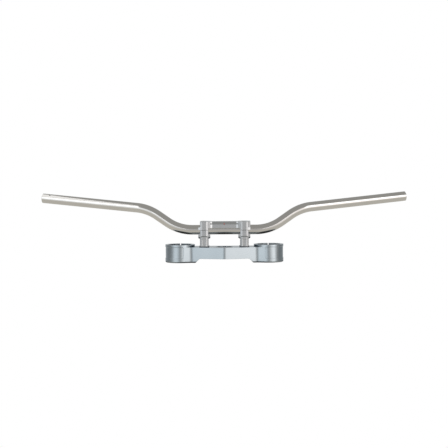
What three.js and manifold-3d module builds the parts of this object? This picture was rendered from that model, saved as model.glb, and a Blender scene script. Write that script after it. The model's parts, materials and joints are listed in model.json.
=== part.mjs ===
// Superbike handlebar kit: a bent bar held by a one-piece top clamp on two risers,
// which stand on a milled top yoke with two fork clamp rings.
// Millimetres. +X to the right seen from the front, +Y to the rear of the bike, +Z up.
// The kit is drawn about the fork axes (y = 0) and the yoke's underside (z = 0), and
// the whole group is then moved so that its origin is the bottom centre of its box.
import * as THREE from "three";
import { mergeVertices } from "three/addons/utils/BufferGeometryUtils.js";
import Module from "manifold-3d";

const wasm = await Module();
wasm.setup();

// ---------------------------------------------------------------- driving dimensions
const GAP = 0.3; // running or seating clearance between two pieces
const PAST = 5; // how far a cutting tool runs past the face it opens

// Fork clamp rings
const FORK_X = 101.9; // fork axis from the middle plane
const RING_R = 34.2;
const FORK_BORE_R = 27;
const RING_TOP = 41;
const RING_FOOT_R = 3; // rounding of the ring's lower outer edge
const RING_LIP = 0.8; // chamfer on the ring's upper outer edge
const SLIT_W = 2.3;
const RECESS_DEPTH = 0.8; // shallow band turned into the outside of each ring
const RECESS_LOW = 10.2;
const RECESS_HIGH = 35.6;
const RECESS_REACH = 8.6; // how far the band runs past the fork axis, towards the middle
const RECESS_CORNER_R = 3.5;
const RECESS_TO_LUG = 3; // the band stops this far short of the pinch lug

// Yoke plate between the rings
const PLATE_BOTTOM = 9.6;
const PLATE_TOP = 35.6;
const FACET_ANGLE = 18; // flat that leaves the ring towards the middle
const FACET_LENGTH = 10.7;
const REAR_FACET_LENGTH = 25;
const WEB_FILLET_R = 20;
const NOSE_ANGLE = 15; // each nose plane turned from the straight-ahead direction
const NOSE_R = 17.7; // rounding of the vertical ridge where the nose planes meet
const STEP_X_TOP = 56.8; // foot of the plate ends here, under the plate
const STEP_X_BOTTOM = 66.4; // and here at the lower face
const STEM_BORE_R = 19.5;
const STEM_Y = -8;

// Pinch lugs behind the slits
const LUG_HALF_W = 14;
const LUG_REAR = 50;
const LUG_BOTTOM = 4;
const LUG_TOP = 36;
const LUG_CHAMFER = 5;
const PINCH_Y = 42;
const PINCH_HEIGHTS = [12.5, 27.5];

// Bar
const BAR_R = 11.1;
const BAR_BORE_R = 8.1;
const BAR_Y = -6;
const BAR_Z = 74.8;
const BEND_R = 100;
const BEND_1_X = 104.5; // corner where the bar turns up
const BEND_2 = { x: 175, y: 2.5, z: 123.4 }; // corner where it turns out to the grip
const BAR_END = { x: 425.3, y: 64.8, z: 147.2 };
const BAR_SIDES = 24;
const BEND_STEP = 6; // degrees of bend between sections
const PIN_HOLE_R = 1.8; // locating hole for the throttle housing, right grip only
const PIN_HOLE_FROM_END = 18;
const PIN_HOLE_LEAN = 32; // degrees from upright, towards the front

// Risers and top clamp
const RISER_X = 46; // riser centre from the middle plane
const SEAT_R = BAR_R + 0.4;
const PAD_THICK = 1.2;
const PAD_BORDER = 1.5; // how far the pad shows round the foot of its riser
const POST_HALF_W = 9.75;
const POST_HALF_D = 24;
const POST_PANEL = 5.2; // half width of the post's flat front
const POST_BEVEL_D = 2.8;
const POCKET_HALF_W = 3.9; // shallow pocket in the post's front
const POCKET_FOOT = 2.2; // above the foot of the post
const POCKET_DEPTH = 0.6;
const POCKET_CORNER_R = 1.6;
const BOSS_HALF_W = 9.4;
const BOSS_HALF_D = 26;
const BOSS_PANEL = 5;
const BOSS_BEVEL_D = 2.2;
const BOSS_FOOT = 61.4; // lower front edge of the boss
const BOSS_SET_BACK = 2.4; // the boss's underside runs back to the post over this depth
const BOSS_UNDERCUT = 2.2; // and drops by this much
const SADDLE_HALF_W = 13.8;
const SADDLE_HALF_D = 7;
const SADDLE_FOOT = 53.4;
const SADDLE_FOOT_HALF_W = 9.2;
const SADDLE_SHOULDER = 55.6;
const SADDLE_CHAMFER = 4; // along the lower front and rear edges
const RISER_TOP = 74.6;
const CLAMP_BOTTOM = 75;
const CLAMP_TOP = 94;
const BODY_INNER_X = 32.2; // inner flank of each clamp body
const BEAM_BOTTOM = 78.9;
const BEAM_LEDGE_LOW = 87.6;
const BEAM_LEDGE_HIGH = 89.6;
const BEAM_LOWER_D = 15; // half depth of the beam below its ledge
const BEAM_UPPER_D = 12.5; // just above it
const BEAM_TOP_D = 10.4; // and at the top, the upper tier leaning inwards
const CORNER_W = 4.6; // flat web in each corner between beam and body
const CORNER_D = 1.8;
const WING_DEPTH_IN = 24; // half depth where the wing leaves the boss
const WING_DEPTH_OUT = 21; // and at its outer corner
const EAR_DEPTH_IN = 24.6;
const EAR_DEPTH_OUT = 22.4;
const EAR_TOP = 81.4;
const WIDE_SIDE = 1; // the body on this side is as wide outside its boss as inside

// Fasteners
const M8 = { shankR: 4, headR: 6.5, headH: 8, socket: 6, socketD: 4 };
const M10 = { shankR: 5, headR: 8, headH: 10, socket: 8, socketD: 5 };
const TIP_CHAMFER = 0.8;
const HEAD_CHAMFER = 0.6;
const HEAD_GAP = 0.6; // round a screw head in its counterbore
const CLAMP_BOLT_D = 17.5; // clamp bolt from the bar centre, fore and aft
const CLAMP_BOLT_END = 50; // height of the bolt tip inside the riser
const CLAMP_BOLT_SEAT = 83.5;
const WASHER_THICK = 1.6;
const RISER_BOLT_SEAT = 23;
const RISER_BOLT_TIP = 57;
const DOWEL_R = 2.5;
const DOWEL_D = 15; // dowel behind the riser bolt
const DOWEL_BOTTOM = 29.5;
const DOWEL_TOP = 43;
const DOWEL_CHAMFER = 0.5;
const INLAY_R = 1.6;
const INLAY_DEPTH = 1.4; // behind the upper tier of the beam
const INLAY_PROUD = 0.9; // in front of the middle of the ledge

const SIDES = [["left", 1], ["right", -1]]; // as the rider sees them: left is +X

const ROUND = 48; // sides of a large round
const SCREW_SIDES = 16;

// ---------------------------------------------------------------- solids and helpers
const rad = THREE.MathUtils.degToRad;

function solid(geometry) {
  const plain = geometry.index ? geometry.toNonIndexed() : geometry.clone();
  plain.deleteAttribute("normal");
  plain.deleteAttribute("uv");
  const merged = mergeVertices(plain, 1e-4);
  return new wasm.Manifold(new wasm.Mesh({
    numProp: 3,
    vertProperties: new Float32Array(merged.attributes.position.array),
    triVerts: new Uint32Array(merged.index.array),
  }));
}

function meshOf(name, body, material) {
  const { vertProperties, triVerts } = body.getMesh();
  const geometry = new THREE.BufferGeometry();
  geometry.setAttribute("position", new THREE.BufferAttribute(vertProperties, 3));
  geometry.setIndex(new THREE.BufferAttribute(triVerts, 1));
  const mesh = new THREE.Mesh(geometry, material);
  mesh.name = name;
  return mesh;
}

const join = (bodies) => bodies.reduce((sum, body) => sum.add(body));
const cut = (body, tools) => tools.reduce((rest, tool) => rest.subtract(tool), body);
const mirrorX = (points) => points.map((p) => new THREE.Vector2(-p.x, p.y)).reverse();

function arc(cx, cy, r, fromDeg, toDeg, steps) {
  return Array.from({ length: steps + 1 }, (_, i) => {
    const a = rad(fromDeg + ((toDeg - fromDeg) * i) / steps);
    return new THREE.Vector2(cx + r * Math.cos(a), cy + r * Math.sin(a));
  });
}

// Prism of a plan outline (x, y) between two heights.
function planPrism(points, z0, z1) {
  const shape = new THREE.Shape(points);
  const geometry = new THREE.ExtrudeGeometry(shape, { depth: z1 - z0, bevelEnabled: false });
  return solid(geometry.translate(0, 0, z0));
}

// Prism of a side outline (y, z) between two places across the bike.
function sidePrism(points, x0, x1) {
  const shape = new THREE.Shape(points.map(([y, z]) => new THREE.Vector2(y, z)));
  const geometry = new THREE.ExtrudeGeometry(shape, { depth: x1 - x0, bevelEnabled: false });
  geometry.rotateX(Math.PI / 2).rotateZ(Math.PI / 2);
  return solid(geometry.translate(x0, 0, 0));
}

// Prism of a front outline (x, z) between two depths.
function frontPrism(points, y0, y1) {
  const shape = new THREE.Shape(points.map(([x, z]) => new THREE.Vector2(x, z)));
  const geometry = new THREE.ExtrudeGeometry(shape, { depth: y1 - y0, bevelEnabled: false });
  geometry.rotateX(Math.PI / 2);
  return solid(geometry.translate(0, y1, 0));
}

function box(x0, x1, y0, y1, z0, z1) {
  const geometry = new THREE.BoxGeometry(x1 - x0, y1 - y0, z1 - z0);
  return solid(geometry.translate((x0 + x1) / 2, (y0 + y1) / 2, (z0 + z1) / 2));
}

function upright(r, x, y, z0, z1, sides) {
  const geometry = new THREE.CylinderGeometry(r, r, z1 - z0, sides);
  return solid(geometry.rotateX(Math.PI / 2).translate(x, y, (z0 + z1) / 2));
}

function crosswise(r, x0, x1, y, z, sides) {
  const geometry = new THREE.CylinderGeometry(r, r, x1 - x0, sides);
  return solid(geometry.rotateZ(Math.PI / 2).translate((x0 + x1) / 2, y, z));
}

// Solid of revolution about the upright line through (x, y), from (radius, height) pairs.
function turned(profile, x, y, sides) {
  const points = profile.map(([r, z]) => new THREE.Vector2(r, z));
  const geometry = new THREE.LatheGeometry(points, sides);
  return solid(geometry.rotateX(Math.PI / 2).translate(x, y, 0));
}

// ---------------------------------------------------------------- materials
function metal(color, roughness) {
  return new THREE.MeshStandardMaterial({ color, roughness, metalness: 1 });
}
const yokeMetal = metal(0xb9c4cc, 0.42);
const barMetal = metal(0xc9c6bf, 0.22);
const clampMetal = metal(0xb4b6b5, 0.38);
const screwMetal = metal(0xa9abac, 0.3);
const padMetal = metal(0x3c4046, 0.55);
const inlayPaint = new THREE.MeshStandardMaterial({ color: 0xb5362f, roughness: 0.4 });

// ---------------------------------------------------------------- top yoke
// Right half of the plate's outline, from the nose ridge round to the rear edge.
function plateHalf() {
  const f = rad(FACET_ANGLE);
  const v = rad(NOSE_ANGLE);
  const leaveX = FORK_X - RING_R * Math.sin(f);
  const leaveY = RING_R * Math.cos(f);
  const webX = leaveX - FACET_LENGTH * Math.cos(f) - WEB_FILLET_R * Math.sin(f);
  const webY = -leaveY + FACET_LENGTH * Math.sin(f) - WEB_FILLET_R * Math.cos(f);
  const web = arc(webX, webY, WEB_FILLET_R, 90 + NOSE_ANGLE, 90 - FACET_ANGLE, 6);
  const run = (web[0].x - NOSE_R * Math.sin(v)) / Math.cos(v);
  const noseY = web[0].y - run * Math.sin(v) + NOSE_R * Math.cos(v);
  const nose = arc(0, noseY, NOSE_R, -90, -90 + NOSE_ANGLE, 3);
  const rearWebX = leaveX - REAR_FACET_LENGTH * Math.cos(f) - WEB_FILLET_R * Math.sin(f);
  const rearWebY = leaveY - REAR_FACET_LENGTH * Math.sin(f) + WEB_FILLET_R * Math.cos(f);
  const rear = arc(rearWebX, rearWebY, WEB_FILLET_R, -90 + FACET_ANGLE, -90, 3);
  const leave = new THREE.Vector2(leaveX, -leaveY);
  const arrive = new THREE.Vector2(leaveX, leaveY);
  return [...nose, ...web, leave, new THREE.Vector2(FORK_X, 0), arrive, ...rear];
}

function clampRing(x) {
  const foot = arc(RING_R - RING_FOOT_R, RING_FOOT_R, RING_FOOT_R, -90, 0, 3);
  const profile = [
    [FORK_BORE_R, 0],
    ...foot.map((p) => [p.x, p.y]),
    [RING_R, RING_TOP - RING_LIP],
    [RING_R - RING_LIP, RING_TOP],
    [FORK_BORE_R, RING_TOP],
    [FORK_BORE_R, 0],
  ];
  return turned(profile, x, 0, ROUND);
}

function pinchLug(x) {
  const front = FORK_BORE_R + GAP;
  const outline = [
    new THREE.Vector2(x - LUG_HALF_W, front),
    new THREE.Vector2(x + LUG_HALF_W, front),
    new THREE.Vector2(x + LUG_HALF_W, LUG_REAR - LUG_CHAMFER),
    new THREE.Vector2(x + LUG_HALF_W - LUG_CHAMFER, LUG_REAR),
    new THREE.Vector2(x - LUG_HALF_W + LUG_CHAMFER, LUG_REAR),
    new THREE.Vector2(x - LUG_HALF_W, LUG_REAR - LUG_CHAMFER),
  ];
  return planPrism(outline, LUG_BOTTOM, LUG_TOP);
}

// Tool for the turned band: an open sleeve, trimmed by a panel with rounded corners.
function recessTool(x, side) {
  const outer = RING_R + PAST;
  const sleeve = cut(
    upright(outer, x, 0, RECESS_LOW - PAST, RECESS_HIGH + PAST, ROUND),
    [upright(RING_R - RECESS_DEPTH, x, 0, 0, RING_TOP, ROUND)],
  );
  const r = RECESS_CORNER_R;
  const inner = x - side * RECESS_REACH;
  const far = x + side * outer;
  const corner = r - RECESS_REACH;
  const panel = [
    ...arc(corner, RECESS_LOW + r, r, 180, 270, 4).map((p) => [x + side * p.x, p.y]),
    [far, RECESS_LOW],
    [far, RECESS_HIGH],
    ...arc(corner, RECESS_HIGH - r, r, 90, 180, 4).map((p) => [x + side * p.x, p.y]),
  ];
  const beside = x + side * (LUG_HALF_W + RECESS_TO_LUG);
  const rear = box(inner - RING_R, inner + RING_R, 0, outer, 0, RING_TOP);
  const outside = box(Math.min(beside, far), Math.max(beside, far), 0, outer, 0, RING_TOP);
  const window = frontPrism(panel, -outer, outer);
  return sleeve.intersect(window).intersect(window.subtract(rear).add(outside));
}

function pinchBoltTools(x, side, z) {
  const headFace = x + side * (LUG_HALF_W - M8.headH);
  const open = x + side * (LUG_HALF_W + PAST);
  const reach = LUG_HALF_W + PAST;
  const through = crosswise(M8.shankR + GAP, x - reach, x + reach, PINCH_Y, z, SCREW_SIDES);
  const headR = M8.headR + HEAD_GAP;
  const head = crosswise(headR, Math.min(headFace, open), Math.max(headFace, open), PINCH_Y, z, 20);
  return [through, head];
}

function topYoke() {
  const half = plateHalf();
  const plate = planPrism([...half, ...mirrorX(half)], 0, PLATE_TOP);
  const step = frontPrism([
    [-STEP_X_BOTTOM - 1, -1],
    [STEP_X_BOTTOM + 1, -1],
    [STEP_X_TOP, PLATE_BOTTOM],
    [-STEP_X_TOP, PLATE_BOTTOM],
  ], -RING_R * 2, RING_R * 2);
  const rings = SIDES.flatMap(([, s]) => [clampRing(s * FORK_X), pinchLug(s * FORK_X)]);
  const tools = [upright(STEM_BORE_R, 0, STEM_Y, 0, RING_TOP, ROUND)];
  for (const [, s] of SIDES) {
    const x = s * FORK_X;
    tools.push(upright(FORK_BORE_R, x, 0, -PAST, RING_TOP + PAST, ROUND));
    tools.push(box(x - SLIT_W / 2, x + SLIT_W / 2, 0, LUG_REAR + PAST, -PAST, RING_TOP + PAST));
    tools.push(recessTool(x, s));
    for (const z of PINCH_HEIGHTS) {
      tools.push(...pinchBoltTools(x, s, z));
    }
    const rx = s * RISER_X;
    tools.push(upright(M10.shankR + GAP, rx, BAR_Y, 0, RING_TOP, 20));
    tools.push(upright(M10.headR + HEAD_GAP, rx, BAR_Y, 0, RISER_BOLT_SEAT, 24));
    tools.push(upright(DOWEL_R + GAP, rx, BAR_Y + DOWEL_D, DOWEL_BOTTOM - GAP, RING_TOP, 16));
  }
  const body = cut(join([plate.subtract(step), ...rings]), tools);
  return meshOf("top_yoke", body, yokeMetal);
}

// ---------------------------------------------------------------- handlebar
// The bar's centre line: five straights joined by bends of one radius. The parameter
// steps evenly through the stations, which crowd into the bends.
class BarLine extends THREE.Curve {
  constructor() {
    super();
    const corner = (p, s) => new THREE.Vector3(s * p.x, p.y, p.z);
    const first = { x: BEND_1_X, y: BAR_Y, z: BAR_Z };
    const corners = [
      corner(BAR_END, -1), corner(BEND_2, -1), corner(first, -1),
      corner(first, 1), corner(BEND_2, 1), corner(BAR_END, 1),
    ];
    this.stations = [corners[0]];
    for (let i = 1; i < corners.length - 1; i += 1) {
      this.stations.push(...BarLine.bend(corners[i - 1], corners[i], corners[i + 1]));
    }
    this.stations.push(corners[5]);
  }

  static bend(before, at, after) {
    const back = before.clone().sub(at).normalize();
    const on = after.clone().sub(at).normalize();
    const half = back.angleTo(on) / 2;
    const turn = Math.PI - 2 * half;
    const centre = back.clone().add(on).normalize().multiplyScalar(BEND_R / Math.sin(half)).add(at);
    const start = back.clone().multiplyScalar(BEND_R / Math.tan(half)).add(at).sub(centre);
    const axis = start.clone().cross(on).normalize();
    const steps = Math.ceil(THREE.MathUtils.radToDeg(turn) / BEND_STEP);
    return Array.from({ length: steps + 1 }, (_, i) => (
      start.clone().applyAxisAngle(axis, (turn * i) / steps).add(centre)
    ));
  }

  getPoint(t, target = new THREE.Vector3()) {
    const place = t * (this.stations.length - 1);
    const i = Math.min(Math.floor(place), this.stations.length - 2);
    return target.lerpVectors(this.stations[i], this.stations[i + 1], place - i);
  }

  getUtoTmapping(u) {
    return u;
  }

  // Mean direction of the two spans that meet at a station, so that sections mitre.
  getTangent(t, target = new THREE.Vector3()) {
    const last = this.stations.length - 1;
    const i = Math.round(t * last);
    const here = this.stations[i];
    const before = this.stations[Math.max(i - 1, 0)];
    const after = this.stations[Math.min(i + 1, last)];
    const arriving = here.clone().sub(before).normalize();
    const leaving = after.clone().sub(here).normalize();
    return target.copy(arriving).add(leaving).normalize();
  }
}

function handlebar() {
  const line = new BarLine();
  const section = new THREE.Shape(arc(0, 0, BAR_R, 0, 360, BAR_SIDES).slice(1));
  section.holes.push(new THREE.Path(arc(0, 0, BAR_BORE_R, 0, 360, BAR_SIDES).slice(1)));
  const tube = solid(new THREE.ExtrudeGeometry(section, {
    steps: line.stations.length - 1, extrudePath: line, bevelEnabled: false,
  }));
  const end = line.stations[0];
  const inward = line.stations[1].clone().sub(end).normalize();
  const holeAt = end.clone().addScaledVector(inward, PIN_HOLE_FROM_END);
  const drill = new THREE.CylinderGeometry(PIN_HOLE_R, PIN_HOLE_R, 2 * BAR_R, 12);
  drill.translate(0, BAR_R, 0).rotateX(rad(90 - PIN_HOLE_LEAN));
  const body = tube.subtract(solid(drill.translate(holeAt.x, holeAt.y, holeAt.z)));
  return meshOf("handlebar", body, barMetal);
}

// ---------------------------------------------------------------- risers and pads
// Rectangle with a flat middle and bevelled ends to its front and rear faces.
function panelled(x, halfW, halfD, panel, bevelD) {
  const quarter = [[panel, -halfD], [halfW, -halfD + bevelD]];
  const right = [...quarter, ...quarter.map(([px, py]) => [px, -py]).reverse()];
  const left = right.map(([px, py]) => [-px, py]).reverse();
  return [...right, ...left].map(([px, py]) => new THREE.Vector2(x + px, BAR_Y + py));
}

function padBottom() {
  return PLATE_TOP + GAP;
}

function riserBottom() {
  return padBottom() + PAD_THICK + GAP;
}

function postPocket(x) {
  const r = POCKET_CORNER_R;
  const side = POCKET_HALF_W - r;
  const low = riserBottom() + POCKET_FOOT + r;
  const high = SADDLE_FOOT - r;
  const outline = [
    ...arc(side, low, r, -90, 0, 3), ...arc(side, high, r, 0, 90, 3),
    ...arc(-side, high, r, 90, 180, 3), ...arc(-side, low, r, 180, 270, 3),
  ].map((p) => [x + p.x, p.y]);
  const front = BAR_Y - POST_HALF_D;
  return frontPrism(outline, front - PAST, front + POCKET_DEPTH);
}

// Upper part of a riser's front view: narrow at the foot, flaring to the full width.
function saddleOutline(x, lift) {
  const right = [
    [SADDLE_FOOT_HALF_W, SADDLE_FOOT + lift], [SADDLE_HALF_W, SADDLE_SHOULDER + lift],
    [SADDLE_HALF_W, RISER_TOP],
  ];
  const left = right.map(([px, z]) => [-px, z]).reverse();
  return [...right, ...left].map(([px, z]) => [x + px, z]);
}

function saddle(x) {
  const d = SADDLE_HALF_D;
  const c = SADDLE_CHAMFER;
  const full = frontPrism(saddleOutline(x, 0), BAR_Y - d + c, BAR_Y + d - c);
  const ends = frontPrism(saddleOutline(x, c), BAR_Y - d, BAR_Y + d);
  return wasm.Manifold.hull([full, ends]);
}

function riserBoss(x) {
  const d = BOSS_HALF_D;
  const under = BOSS_HALF_D - BOSS_SET_BACK;
  const profile = sidePrism([
    [BAR_Y - under, BOSS_FOOT - BOSS_UNDERCUT], [BAR_Y + under, BOSS_FOOT - BOSS_UNDERCUT],
    [BAR_Y + d, BOSS_FOOT], [BAR_Y + d, RISER_TOP],
    [BAR_Y - d, RISER_TOP], [BAR_Y - d, BOSS_FOOT],
  ], x - BOSS_HALF_W, x + BOSS_HALF_W);
  const plan = panelled(x, BOSS_HALF_W, BOSS_HALF_D, BOSS_PANEL, BOSS_BEVEL_D);
  return profile.intersect(planPrism(plan, SADDLE_FOOT, CLAMP_BOTTOM));
}

function riser(name, x) {
  const plan = panelled(x, POST_HALF_W, POST_HALF_D, POST_PANEL, POST_BEVEL_D);
  const post = planPrism(plan, riserBottom(), BOSS_FOOT);
  const foot = riserBottom() - PAST;
  const tools = [
    crosswise(SEAT_R, x - 20, x + 20, BAR_Y, BAR_Z, ROUND),
    upright(M10.shankR + GAP, x, BAR_Y, foot, RISER_BOLT_TIP + 1, 20),
    upright(DOWEL_R + GAP, x, BAR_Y + DOWEL_D, foot, DOWEL_TOP + GAP, 16),
    postPocket(x),
  ];
  for (const d of [-CLAMP_BOLT_D, CLAMP_BOLT_D]) {
    tools.push(upright(M8.shankR + GAP, x, BAR_Y + d, CLAMP_BOLT_END - 1, CLAMP_TOP, SCREW_SIDES));
  }
  return meshOf(name, cut(join([post, riserBoss(x), saddle(x)]), tools), clampMetal);
}

function riserPad(name, x) {
  const [halfW, halfD, panel] = [POST_HALF_W, POST_HALF_D, POST_PANEL].map((v) => v + PAD_BORDER);
  const outline = panelled(x, halfW, halfD, panel, POST_BEVEL_D);
  const plate = planPrism(outline, padBottom(), padBottom() + PAD_THICK);
  const body = cut(plate, [
    upright(M10.shankR + GAP, x, BAR_Y, 0, CLAMP_TOP, 20),
    upright(DOWEL_R + GAP, x, BAR_Y + DOWEL_D, 0, CLAMP_TOP, 16),
  ]);
  return meshOf(name, body, padMetal);
}

// ---------------------------------------------------------------- top clamp
// Flat web in the corner between the beam and a clamp body, for one tier of the beam.
function cornerWeb(s, face, halfD, z0, z1) {
  const flank = BODY_INNER_X;
  const outline = [
    [flank - CORNER_W, halfD - 1], [flank - CORNER_W, halfD], [flank, halfD + CORNER_D],
    [flank + 1, halfD + CORNER_D], [flank + 1, halfD - 1],
  ].map(([px, py]) => new THREE.Vector2(s * px, BAR_Y + face * py));
  return planPrism(outline, z0, z1);
}

function clampBeam() {
  const y = (d) => BAR_Y + d;
  const profile = [
    [y(-BEAM_LOWER_D), BEAM_BOTTOM], [y(BEAM_LOWER_D), BEAM_BOTTOM],
    [y(BEAM_LOWER_D), BEAM_LEDGE_LOW], [y(BEAM_UPPER_D), BEAM_LEDGE_HIGH],
    [y(BEAM_TOP_D), CLAMP_TOP], [y(-BEAM_TOP_D), CLAMP_TOP],
    [y(-BEAM_UPPER_D), BEAM_LEDGE_HIGH], [y(-BEAM_LOWER_D), BEAM_LEDGE_LOW],
  ];
  const reach = RISER_X - BOSS_HALF_W + 1;
  const pieces = [sidePrism(profile, -reach, reach)];
  for (const [, s] of SIDES) {
    for (const face of [-1, 1]) {
      pieces.push(cornerWeb(s, face, BEAM_LOWER_D, BEAM_BOTTOM, BEAM_LEDGE_LOW));
      pieces.push(cornerWeb(s, face, BEAM_UPPER_D, BEAM_LEDGE_HIGH, CLAMP_TOP));
    }
  }
  return join(pieces);
}

// Wider body behind a boss, with bevelled corners, and the ear on its outer side.
function clampWings(x, s) {
  const inner = BOSS_HALF_W - 1;
  const outer = SADDLE_HALF_W;
  const at = ([px, py]) => new THREE.Vector2(x + s * px, BAR_Y + py);
  const beamSide = [[inner, -WING_DEPTH_IN], [-inner, -WING_DEPTH_IN], [-outer, -WING_DEPTH_OUT]];
  const front = s === WIDE_SIDE ? [[outer, -WING_DEPTH_OUT], ...beamSide] : beamSide;
  const rear = front.map(([px, py]) => [px, -py]).reverse();
  const ear = [
    [inner, -EAR_DEPTH_IN], [outer, -EAR_DEPTH_OUT], [outer, EAR_DEPTH_OUT], [inner, EAR_DEPTH_IN],
  ];
  return [
    planPrism([...front, ...rear].map(at), BEAM_BOTTOM, CLAMP_TOP),
    planPrism(ear.map(at), CLAMP_BOTTOM, EAR_TOP),
  ];
}

function topClamp() {
  const pieces = [clampBeam()];
  const tools = [crosswise(SEAT_R, -80, 80, BAR_Y, BAR_Z, ROUND)];
  for (const [, s] of SIDES) {
    const x = s * RISER_X;
    const outline = panelled(x, BOSS_HALF_W, BOSS_HALF_D, BOSS_PANEL, BOSS_BEVEL_D);
    pieces.push(planPrism(outline, CLAMP_BOTTOM, CLAMP_TOP), ...clampWings(x, s));
    for (const d of [-CLAMP_BOLT_D, CLAMP_BOLT_D]) {
      tools.push(upright(M8.shankR + GAP, x, BAR_Y + d, 0, CLAMP_TOP, SCREW_SIDES));
      tools.push(upright(M8.headR + HEAD_GAP, x, BAR_Y + d, CLAMP_BOLT_SEAT, CLAMP_TOP + PAST, 24));
    }
  }
  tools.push(inlayDisc(INLAY_R + GAP, BAR_Y - BEAM_LOWER_D - PAST, inlayBack() + GAP));
  return meshOf("top_clamp", cut(join(pieces), tools), clampMetal);
}

// ---------------------------------------------------------------- coloured inlay
function inlayBack() {
  return BAR_Y - BEAM_UPPER_D + INLAY_DEPTH;
}

function inlayDisc(r, y0, y1) {
  const z = (BEAM_LEDGE_LOW + BEAM_LEDGE_HIGH) / 2;
  const geometry = new THREE.CylinderGeometry(r, r, y1 - y0, 20);
  return solid(geometry.translate(0, (y0 + y1) / 2, z));
}

function inlay() {
  const front = BAR_Y - (BEAM_LOWER_D + BEAM_UPPER_D) / 2 - INLAY_PROUD;
  return meshOf("clamp_inlay", inlayDisc(INLAY_R, front, inlayBack()), inlayPaint);
}

// ---------------------------------------------------------------- fasteners
// Socket head screw with its head's underside at the origin and its shank hanging down.
function screwBody(size, length) {
  const { shankR, headR, headH, socket, socketD } = size;
  const profile = [
    [0, -length], [shankR - TIP_CHAMFER, -length], [shankR, -length + TIP_CHAMFER], [shankR, 0],
    [headR, 0], [headR, headH - HEAD_CHAMFER], [headR - HEAD_CHAMFER, headH], [0, headH],
  ];
  const hex = upright(socket / Math.sqrt(3), 0, 0, headH - socketD, headH + PAST, 6);
  return turned(profile, 0, 0, SCREW_SIDES).subtract(hex);
}

function placed(mesh, x, y, z) {
  mesh.position.set(x, y, z);
  return mesh;
}

function washer(name, x, y, z, innerR, outerR) {
  const profile = [
    [innerR, 0], [outerR, 0], [outerR, WASHER_THICK], [innerR, WASHER_THICK], [innerR, 0],
  ];
  return placed(meshOf(name, turned(profile, 0, 0, SCREW_SIDES), screwMetal), x, y, z);
}

function clampScrews(side, s) {
  const x = s * RISER_X;
  const washerZ = CLAMP_BOLT_SEAT + GAP;
  const headZ = washerZ + WASHER_THICK + GAP;
  return [["front", -CLAMP_BOLT_D], ["rear", CLAMP_BOLT_D]].flatMap(([place, d]) => {
    const body = screwBody(M8, headZ - CLAMP_BOLT_END);
    const screw = meshOf(`clamp_bolt_${place}_${side}`, body, screwMetal);
    const name = `clamp_washer_${place}_${side}`;
    return [
      placed(screw, x, BAR_Y + d, headZ),
      washer(name, x, BAR_Y + d, washerZ, M8.shankR + GAP, M8.headR),
    ];
  });
}

function riserScrew(side, s) {
  const x = s * RISER_X;
  const washerZ = RISER_BOLT_SEAT - GAP - WASHER_THICK;
  const headZ = washerZ - GAP;
  const screw = meshOf(`riser_bolt_${side}`, screwBody(M10, RISER_BOLT_TIP - headZ), screwMetal);
  screw.rotation.x = Math.PI;
  const name = `riser_bolt_washer_${side}`;
  return [placed(screw, x, BAR_Y, headZ), washer(name, x, BAR_Y, washerZ, M10.shankR + GAP, M10.headR)];
}

function dowel(side, s) {
  const c = DOWEL_CHAMFER;
  const profile = [
    [0, DOWEL_BOTTOM], [DOWEL_R - c, DOWEL_BOTTOM], [DOWEL_R, DOWEL_BOTTOM + c],
    [DOWEL_R, DOWEL_TOP - c], [DOWEL_R - c, DOWEL_TOP], [0, DOWEL_TOP],
  ];
  const body = turned(profile, s * RISER_X, BAR_Y + DOWEL_D, 12);
  return meshOf(`riser_dowel_${side}`, body, screwMetal);
}

// Pinch screws lie across the slit with their heads on the outer side.
function pinchScrews(side, s) {
  const underHead = LUG_HALF_W - M8.headH + GAP;
  return PINCH_HEIGHTS.map((z, i) => {
    const body = screwBody(M8, underHead + LUG_HALF_W - 2);
    const place = i === 0 ? "lower" : "upper";
    const screw = meshOf(`pinch_bolt_${place}_${side}`, body, screwMetal);
    screw.rotation.y = s * (Math.PI / 2);
    return placed(screw, s * (FORK_X + underHead), PINCH_Y, z);
  });
}

// ---------------------------------------------------------------- assembly
const kit = new THREE.Group();
kit.add(topYoke(), handlebar(), topClamp(), inlay());
for (const [side, s] of SIDES) {
  kit.add(riser(`riser_${side}`, s * RISER_X), riserPad(`riser_pad_${side}`, s * RISER_X));
  kit.add(...clampScrews(side, s), ...riserScrew(side, s), dowel(side, s), ...pinchScrews(side, s));
}

const middle = new THREE.Box3().setFromObject(kit, true).getCenter(new THREE.Vector3());
kit.position.set(-middle.x, -middle.y, 0);

export default kit;
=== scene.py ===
"""Looks of the handlebar kit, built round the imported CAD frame.
"""
import json
import math
import random

import bmesh
import bpy
from mathutils import Matrix, Vector


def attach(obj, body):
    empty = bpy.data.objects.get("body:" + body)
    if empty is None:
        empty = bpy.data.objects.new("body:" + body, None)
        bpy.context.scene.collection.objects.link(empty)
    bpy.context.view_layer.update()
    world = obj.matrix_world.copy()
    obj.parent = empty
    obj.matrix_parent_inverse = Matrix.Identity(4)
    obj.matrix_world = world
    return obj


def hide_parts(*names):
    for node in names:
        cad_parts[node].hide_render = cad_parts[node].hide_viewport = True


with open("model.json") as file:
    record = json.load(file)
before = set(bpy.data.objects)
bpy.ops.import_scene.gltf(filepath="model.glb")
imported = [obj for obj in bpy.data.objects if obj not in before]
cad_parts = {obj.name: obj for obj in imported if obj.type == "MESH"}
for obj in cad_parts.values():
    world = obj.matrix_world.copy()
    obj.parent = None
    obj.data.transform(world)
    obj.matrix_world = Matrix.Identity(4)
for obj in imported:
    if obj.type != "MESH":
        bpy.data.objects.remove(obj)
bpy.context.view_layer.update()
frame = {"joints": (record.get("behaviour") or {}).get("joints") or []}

# ---------------------------------------------------------------- driving dimensions
MM = 0.001
FIXED = "yoke_and_clamp"
BAR = "bar"
PIVOT = Vector(frame["joints"][0]["pos_m"])  # a point on the bar's own axis, in metres
SIDES = {"left": 1, "right": -1}  # as the rider sees them: left is +x

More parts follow.
